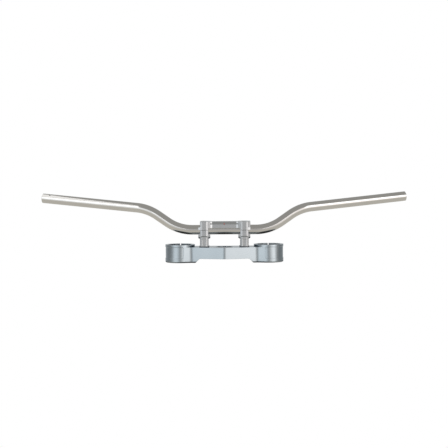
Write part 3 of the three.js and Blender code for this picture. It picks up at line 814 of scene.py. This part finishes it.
def saddle_outline(x, lift, y):
    """Section of the saddle at y from the bar, its foot lifted where the edge is chamfered."""
    right = [(SADDLE_FOOT_HALF_W, SADDLE_FOOT + lift), (SADDLE_HALF_W, SADDLE_SHOULDER + lift),
             (SADDLE_HALF_W, RISER_TOP)]
    left = [(-px, z) for px, z in right][::-1]
    return [(x + px, BAR_Y + y, z) for px, z in right + left]


def make_saddle(x):
    end = SADDLE_HALF_D
    flat = SADDLE_HALF_D - SADDLE_CHAMFER
    sections = ((SADDLE_CHAMFER, -end), (0.0, -flat), (0.0, flat), (SADDLE_CHAMFER, end))
    return loft("saddle", [saddle_outline(x, lift, y) for lift, y in sections])


def make_boss(x):
    """Head of a riser, wider than its post, with an undercut at the front and rear."""
    d = BOSS["half_d"]
    under = d - BOSS_SET_BACK
    boss = side_prism("boss", [
        (BAR_Y - under, BOSS_FOOT - BOSS_UNDERCUT), (BAR_Y + under, BOSS_FOOT - BOSS_UNDERCUT),
        (BAR_Y + d, BOSS_FOOT), (BAR_Y + d, RISER_TOP),
        (BAR_Y - d, RISER_TOP), (BAR_Y - d, BOSS_FOOT),
    ], x - BOSS["half_w"], x + BOSS["half_w"])
    return common(boss, prism("plan", panelled(x, **BOSS), SADDLE_FOOT, RISER_TOP + PAST))


def make_riser(side, s):
    x = s * RISER_X
    body = prism("riser", panelled(x, **POST), POST_BOTTOM, BOSS_FOOT)
    join(body, make_boss(x), make_saddle(x))
    tools = [
        crosswise("seat", SEAT_R, x - SEAT_REACH, x + SEAT_REACH, BAR_Y, BAR_Z, sides=120),
        m10_hole(x, BELOW_RISER, RISER_BOLT_TIP + PAST),
        dowel_hole(x, BELOW_RISER, DOWEL_TOP + BOLT_GAP),
        pocket_tool(x),
    ]
    for offset in (-CLAMP_BOLT_D, CLAMP_BOLT_D):
        tools.append(m8_hole(x, BAR_Y + offset, CLAMP_BOLT_END - PAST, ABOVE_CLAMP))
    cut(body, *tools)
    edge_rounded(body, BODY_ROUNDING)
    finished(body, f"riser_body_{side}", FIXED, CLAMP_METAL, [f"riser_{side}"])


def make_pad(side, s):
    x = s * RISER_X
    half_w, half_d, panel = (POST[key] + PAD_BORDER for key in ("half_w", "half_d", "panel"))
    outline = panelled(x, half_w, half_d, panel, POST["bevel"])
    pad = prism("pad", outline, PAD_BOTTOM, PAD_TOP)
    cut(pad, m10_hole(x, BELOW_RISER, ABOVE_YOKE), dowel_hole(x, BELOW_RISER, ABOVE_YOKE))
    edge_rounded(pad, PAD_ROUNDING)
    finished(pad, f"pad_plate_{side}", FIXED, PAD_METAL, [f"riser_pad_{side}"])


def corner_web(s, face, *levels):
    """Flat web in the corner between beam and flank, through (half depth, height) levels."""
    flank = BODY_INNER_X
    layers = []
    for depth, z in levels:
        outline = [
            (flank - CORNER_W, depth - SINK), (flank - CORNER_W, depth), (flank, depth + CORNER_D),
            (flank + SINK, depth + CORNER_D), (flank + SINK, depth - SINK),
        ]
        layers.append([(s * x, BAR_Y + face * y, z) for x, y in outline])
    return loft("web", layers)


def beam_profile():
    """Section of the beam across the bike: two tiers with a sloping ledge between them."""
    half = [(BEAM_LOWER_D, BEAM_BOTTOM), (BEAM_LOWER_D, LEDGE_LOW), (BEAM_UPPER_D, LEDGE_HIGH),
            (BEAM_TOP_D, CLAMP_TOP)]
    return [(BAR_Y + y, z) for y, z in half] + [(BAR_Y - y, z) for y, z in half[::-1]]


def clamp_wings(x, s):
    """Wings beside a clamp body's boss, and the low ear on its outer side."""
    inner, outer = BOSS["half_w"] - SINK, SADDLE_HALF_W
    wing = [(inner, -WING_DEPTH_IN), (-inner, -WING_DEPTH_IN), (-outer, -WING_DEPTH_OUT)]
    if s == WIDE_SIDE:
        wing = [(outer, -WING_DEPTH_OUT)] + wing
    wing += [(px, -py) for px, py in wing][::-1]
    ear = [(inner, -EAR_DEPTH_IN), (outer, -EAR_DEPTH_OUT)]
    ear += [(px, -py) for px, py in ear][::-1]
    return [
        prism("wing", [(x + s * px, BAR_Y + py) for px, py in wing], BEAM_BOTTOM, CLAMP_TOP),
        prism("ear", [(x + s * px, BAR_Y + py) for px, py in ear], CLAMP_BOTTOM, EAR_TOP),
    ]


def make_clamp():
    reach = RISER_X - BOSS["half_w"] + SINK
    body = side_prism("clamp", beam_profile(), -reach, reach)
    parts = []
    tools = [crosswise("seat", SEAT_R, -CLAMP_SEAT_REACH, CLAMP_SEAT_REACH, BAR_Y, BAR_Z, sides=120)]
    for s in SIDES.values():
        x = s * RISER_X
        parts.append(prism("boss", panelled(x, **BOSS), CLAMP_BOTTOM, CLAMP_TOP))
        parts += clamp_wings(x, s)
        for face in (-1, 1):
            parts.append(corner_web(s, face, (BEAM_LOWER_D, BEAM_BOTTOM), (BEAM_LOWER_D, LEDGE_LOW)))
            parts.append(corner_web(s, face, (BEAM_UPPER_D, LEDGE_HIGH), (BEAM_UPPER_D, CLAMP_TOP)))
            y = BAR_Y + face * CLAMP_BOLT_D
            tools.append(m8_hole(x, y, BELOW_CLAMP, ABOVE_CLAMP))
            seat, top = (CLAMP_BOLT_SEAT, False), (CLAMP_TOP, True)
            tools.append(bore(M8_HEAD_HOLE_R, x, y, seat, top, sides=56))
    join(body, *parts)
    cut(body, *tools)
    edge_rounded(body, BODY_ROUNDING)
    clean(cut(body, inlay_hole()))
    finished(body, "clamp_body", FIXED, CLAMP_METAL, ["top_clamp"])


def inlay_hole():
    """Blind hole for the inlay, drilled from the front."""
    end = INLAY_BACK + INLAY_BACK_GAP
    hole = upright("dot", INLAY_R + INLAY_GAP, 0, 0, IN_FRONT_OF_CLAMP, end, sides=40)
    hole.data.transform(Matrix.Translation((0, 0, LEDGE_MIDDLE)) @ UP_TO_REAR)
    return hole


def make_inlay():
    """Round inlay with a crowned front, set into the beam's ledge."""
    front = BAR_Y - (BEAM_LOWER_D + BEAM_UPPER_D) / 2 - INLAY_PROUD
    thick = INLAY_BACK - front
    profile = [(INLAY_R, 0)] + [(INLAY_R - inset, thick - down) for inset, down in INLAY_CROWN]
    disc = turned("inlay", profile, sides=40)
    facing = Matrix.Rotation(math.radians(90), 4, "X")
    disc.data.transform(Matrix.Translation((0, INLAY_BACK, LEDGE_MIDDLE)) @ facing)
    finished(disc, "inlay_disc", FIXED, INLAY_ENAMEL, ["clamp_inlay"])


# ---------------------------------------------------------------- fasteners
def screw_profile(size, length):
    """(radius, height, knurl) from the tip to the top of the head, with the seat at height 0."""
    head, height, shank = size["head"], size["height"], size["shank"]
    profile = [(shank - TIP_CHAMFER, -length, 0.0), (shank, -length + TIP_CHAMFER, 0.0)]
    z = -length + TIP_CHAMFER
    while z + THREAD_PITCH < -THREAD_STOP:
        profile += [(shank, z, 0.0), (shank - THREAD_DEPTH, z + THREAD_PITCH / 2, 0.0)]
        z += THREAD_PITCH
    profile += [(shank, z, 0.0), (shank, -NECK_FILLET, 0.0), (shank + NECK_FILLET, 0.0, 0.0)]
    profile += [(head - inset, up, knurl) for inset, up, knurl in HEAD_FOOT]
    profile += [(head - inset, height - down, knurl) for inset, down, knurl in HEAD_CROWN]
    return profile


def screw(size, length):
    """Socket head screw along z: underside of the head at z = 0, shank below, knurled head."""
    height = size["height"]
    bm = bmesh.new()
    rows = []
    for r, z, knurl in screw_profile(size, length):
        row = []
        for i in range(SCREW_SIDES):
            a = 2 * math.pi * i / SCREW_SIDES
            reach = r - (knurl if i % 2 else 0.0)
            row.append(bm.verts.new((reach * math.cos(a), reach * math.sin(a), z)))
        rows.append(row)
    skin(bm, rows)
    body = object_of("screw", bm)
    corner = size["socket"] / math.sqrt(3)
    lead_foot = (corner * SOCKET_LEAD["foot"], height - SOCKET_LEAD["depth"])
    lead_top = (corner + SOCKET_LEAD["wider"], height + SOCKET_LEAD["clear"])
    lead = turned("lead", [lead_foot, lead_top], sides=48)
    socket = upright("socket", corner, 0, 0, height - size["deep"], height + PAST, sides=6)
    return cut(body, lead, socket)


def place_screw(body, matrix, name, nodes):
    body.data.transform(matrix)
    finished(body, name, FIXED, SCREW_METAL, nodes)


def make_washer(name, x, y, z, inner, outer, nodes):
    edge = WASHER_EDGE
    top = z + WASHER_THICK
    profile = [
        (inner, z + edge), (inner + edge, z), (outer - edge, z), (outer, z + edge), (outer, top - edge),
        (outer - edge, top), (inner + edge, top), (inner, top - edge), (inner, z + edge),
    ]
    body = turned("washer", profile, sides=72, x=x, y=y)
    finished(body, name, FIXED, SCREW_METAL, nodes)


def make_clamp_screws(side, s):
    x = s * RISER_X
    washer_z = CLAMP_BOLT_SEAT + BOLT_GAP
    head_z = washer_z + WASHER_THICK + BOLT_GAP
    for place, offset in (("front", -CLAMP_BOLT_D), ("rear", CLAMP_BOLT_D)):
        body = screw(M8, head_z - CLAMP_BOLT_END)
        turn = Matrix.Rotation(math.radians(random.uniform(0, SOCKET_TURN)), 4, "Z")
        matrix = Matrix.Translation((x, BAR_Y + offset, head_z)) @ turn
        place_screw(body, matrix, f"clamp_screw_{place}_{side}", [f"clamp_bolt_{place}_{side}"])
        make_washer(f"clamp_ring_{place}_{side}", x, BAR_Y + offset, washer_z, M8_HOLE_R, M8["head"],
                    [f"clamp_washer_{place}_{side}"])


def make_riser_screw(side, s):
    x = s * RISER_X
    washer_z = RISER_BOLT_SEAT - BOLT_GAP - WASHER_THICK
    head_z = washer_z - BOLT_GAP
    body = screw(M10, RISER_BOLT_TIP - head_z)
    matrix = Matrix.Translation((x, BAR_Y, head_z)) @ Matrix.Rotation(math.pi, 4, "X")
    place_screw(body, matrix, f"riser_screw_{side}", [f"riser_bolt_{side}"])
    make_washer(f"riser_ring_{side}", x, BAR_Y, washer_z, M10_HOLE_R, M10["head"],
                [f"riser_bolt_washer_{side}"])


def make_dowel(side, s):
    profile = [(DOWEL_R - inset, DOWEL_BOTTOM + along) for inset, along in DOWEL_TIP]
    profile += [(DOWEL_R - inset, DOWEL_TOP - along) for inset, along in DOWEL_TIP][::-1]
    body = turned("dowel", profile, sides=40, x=s * RISER_X, y=BAR_Y + DOWEL_D)
    finished(body, f"dowel_pin_{side}", FIXED, SCREW_METAL, [f"riser_dowel_{side}"])


def make_pinch_screws(side, s):
    under_head = LUG_HALF_W - M8["height"] + BOLT_GAP
    for place, z in PINCH_HEIGHTS.items():
        body = screw(M8, under_head + LUG_HALF_W - PINCH_TIP_BACK)
        spin = Matrix.Rotation(math.radians(random.uniform(0, SOCKET_TURN)), 4, "Z")
        matrix = Matrix.Translation((s * (FORK_X + under_head), PINCH_Y, z))
        matrix = matrix @ Matrix.Rotation(s * math.pi / 2, 4, "Y") @ spin
        place_screw(body, matrix, f"pinch_screw_{place}_{side}", [f"pinch_bolt_{place}_{side}"])


# ---------------------------------------------------------------- studio
def white_to_the_eye(tree, others, kind):
    """Pure white where the camera looks straight at it and the given shader for other rays."""
    path = add(tree, "ShaderNodeLightPath")
    mix = add(tree, "ShaderNodeMixShader")
    seen = add(tree, kind)
    seen.inputs["Color"].default_value = (1, 1, 1, 1)
    tree.links.new(path.outputs["Is Camera Ray"], mix.inputs["Fac"])
    tree.links.new(others, mix.inputs[1])
    tree.links.new(seen.outputs[0], mix.inputs[2])
    return mix.outputs["Shader"]


def shade_under(tree):
    """Dark soft-edged patch under the yoke on a floor that is otherwise clear to reflections."""
    coords = add(tree, "ShaderNodeTexCoord").outputs["Object"]
    mapping = add(tree, "ShaderNodeMapping")
    mapping.inputs["Scale"].default_value = (1 / SHADE_HALF[0], 1 / SHADE_HALF[1], 1)
    tree.links.new(coords, mapping.inputs["Vector"])
    reach = add(tree, "ShaderNodeVectorMath", operation="LENGTH")
    tree.links.new(mapping.outputs["Vector"], reach.inputs[0])
    dark = add(tree, "ShaderNodeEmission")
    dark.inputs["Color"].default_value = (*SHADE, 1)
    mix = add(tree, "ShaderNodeMixShader")
    tree.links.new(spanned(tree, reach.outputs["Value"], *SHADE_EDGE, True), mix.inputs["Fac"])
    tree.links.new(dark.outputs[0], mix.inputs[1])
    tree.links.new(add(tree, "ShaderNodeBsdfTransparent").outputs[0], mix.inputs[2])
    return mix.outputs["Shader"]


def make_floor():
    bm = bmesh.new()
    bmesh.ops.create_grid(bm, x_segments=1, y_segments=1, size=FLOOR_HALF)
    floor = object_of("floor", bm)
    floor.location.z = -FLOOR_DROP
    floor.visible_shadow = False
    m, tree, shader = node_material("floor_white")
    tree.nodes.remove(shader)
    surface = white_to_the_eye(tree, shade_under(tree), "ShaderNodeEmission")
    tree.links.new(surface, tree.nodes["Material Output"].inputs["Surface"])
    floor.data.materials.append(m)


def add_camera():
    look = Vector(LOOK_AT)
    elevation = math.radians(CAMERA_ELEVATION)
    data = bpy.data.cameras.new("camera")
    data.sensor_width = SENSOR
    data.lens = SENSOR * CAMERA_DISTANCE / (IMAGE_SIDE * MM_PER_PIXEL * MM)
    camera = bpy.data.objects.new("camera", data)
    bpy.context.scene.collection.objects.link(camera)
    camera.location = look + Vector((0, -math.cos(elevation), math.sin(elevation))) * CAMERA_DISTANCE
    roll = Matrix.Rotation(math.radians(CAMERA_ROLL), 4, "Z")
    aim = (look - camera.location).to_track_quat("-Z", "Y").to_matrix().to_4x4()
    camera.rotation_euler = (aim @ roll).to_euler()
    bpy.context.scene.camera = camera


def add_panel(at, size, tilt, radiance):
    """Soft panel facing down, tilted up to face the rear; its power follows area and radiance."""
    data = bpy.data.lights.new("panel", "AREA")
    data.shape = "RECTANGLE"
    data.size, data.size_y = size
    data.energy = PANEL_POWER * data.size * data.size_y * radiance
    light = bpy.data.objects.new("panel", data)
    bpy.context.scene.collection.objects.link(light)
    light.visible_camera = False
    light.location = at
    light.rotation_euler.x = math.radians(tilt)


def math_node(tree, operation, *inputs):
    """Math node over numbers and sockets."""
    n = add(tree, "ShaderNodeMath", operation=operation)
    for socket, value in zip(n.inputs, inputs):
        if isinstance(value, (int, float)):
            socket.default_value = value
        else:
            tree.links.new(value, socket)
    return n.outputs[0]


def spanned(tree, value, low, high, smooth=False):
    """Turns low..high into 0..1."""
    m = add(tree, "ShaderNodeMapRange")
    m.interpolation_type = "SMOOTHSTEP" if smooth else "LINEAR"
    m.inputs["From Min"].default_value = low
    m.inputs["From Max"].default_value = high
    tree.links.new(value, m.inputs["Value"])
    return m.outputs["Result"]


def blended(tree, fac, low, high):
    """Mix of two colours, each a tuple or a socket, through a mix node's colour sockets."""
    m = add(tree, "ShaderNodeMix", data_type="RGBA")
    for socket, value in ((m.inputs[0], fac), (m.inputs[6], low), (m.inputs[7], high)):
        if isinstance(value, tuple):
            socket.default_value = (*value, 1)
        else:
            tree.links.new(value, socket)
    return m.outputs[2]


def studio():
    """White surround to the eye. To the metal: a ring of soft walls between ceiling and ground."""
    world = bpy.data.worlds.new("studio")
    bpy.context.scene.world = world
    world.use_nodes = True
    tree = world.node_tree
    lit = tree.nodes["Background"]
    coords = add(tree, "ShaderNodeTexCoord").outputs["Generated"]
    split = add(tree, "ShaderNodeSeparateXYZ")
    tree.links.new(coords, split.inputs["Vector"])
    x, y, z = (split.outputs[i] for i in range(3))
    azimuth = math_node(tree, "ARCTAN2", x, math_node(tree, "MULTIPLY", y, -1.0))
    turn = spanned(tree, azimuth, -math.pi, math.pi)
    stops = []
    for degrees, radiance in WALLS:
        tint = WARM_WALL if 0 < degrees < 90 else COOL_WALL
        stops.append(((degrees + 180) / 360, tuple(radiance * c for c in tint)))
    walls = ramp(tree, turn, stops)
    above = spanned(tree, z, *WALL_TOP, True)
    below = spanned(tree, z, *WALL_FOOT, True)
    tone = blended(tree, below, GROUND, blended(tree, above, walls, CEILING))
    tree.links.new(tone, lit.inputs["Color"])
    surface = white_to_the_eye(tree, lit.outputs[0], "ShaderNodeBackground")
    tree.links.new(surface, tree.nodes["World Output"].inputs["Surface"])


# ---------------------------------------------------------------- build
random.seed(7)
scene = bpy.context.scene
scene.view_settings.view_transform = "Standard"
add_camera()
studio()
for panel_values in PANELS:
    add_panel(**panel_values)
make_floor()
make_yoke()
make_bar()
make_clamp()
make_inlay()
for side_name, sign in SIDES.items():
    make_riser(side_name, sign)
    make_pad(side_name, sign)
    make_clamp_screws(side_name, sign)
    make_riser_screw(side_name, sign)
    make_dowel(side_name, sign)
    make_pinch_screws(side_name, sign)

bpy.context.view_layer.update()
